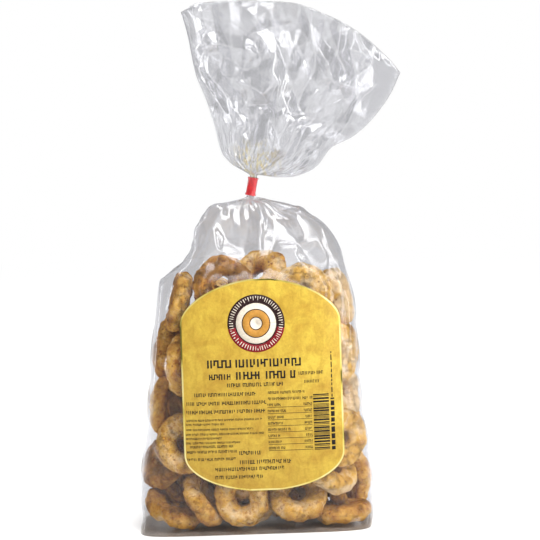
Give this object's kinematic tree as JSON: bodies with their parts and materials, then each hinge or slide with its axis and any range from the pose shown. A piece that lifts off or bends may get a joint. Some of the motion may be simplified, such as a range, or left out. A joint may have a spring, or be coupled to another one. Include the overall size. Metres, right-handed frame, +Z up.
{
  "type": "bag of tarallini",
  "caption": "Clear film bag of small baked ring biscuits, standing on its flat base, with a front label, a red band round its neck and a crumpled fan of film above.",
  "frame": {"origin": "middle of the flat base, on the surface that the bag stands on", "axes": "+Z up through the neck, the label faces -Y, +X to the right of someone who faces the label"},
  "size_m": [0.16, 0.0758, 0.307],
  "materials": {
    "film_and_biscuits": "clear glossy film over matte baked biscuits",
    "label_paper": "smooth printed paper",
    "red_band": "glossy tape"
  },
  "bodies": {
    "root": {"bag": "film_and_biscuits", "label": "label_paper", "band": "red_band"}
  },
  "joints": []
}
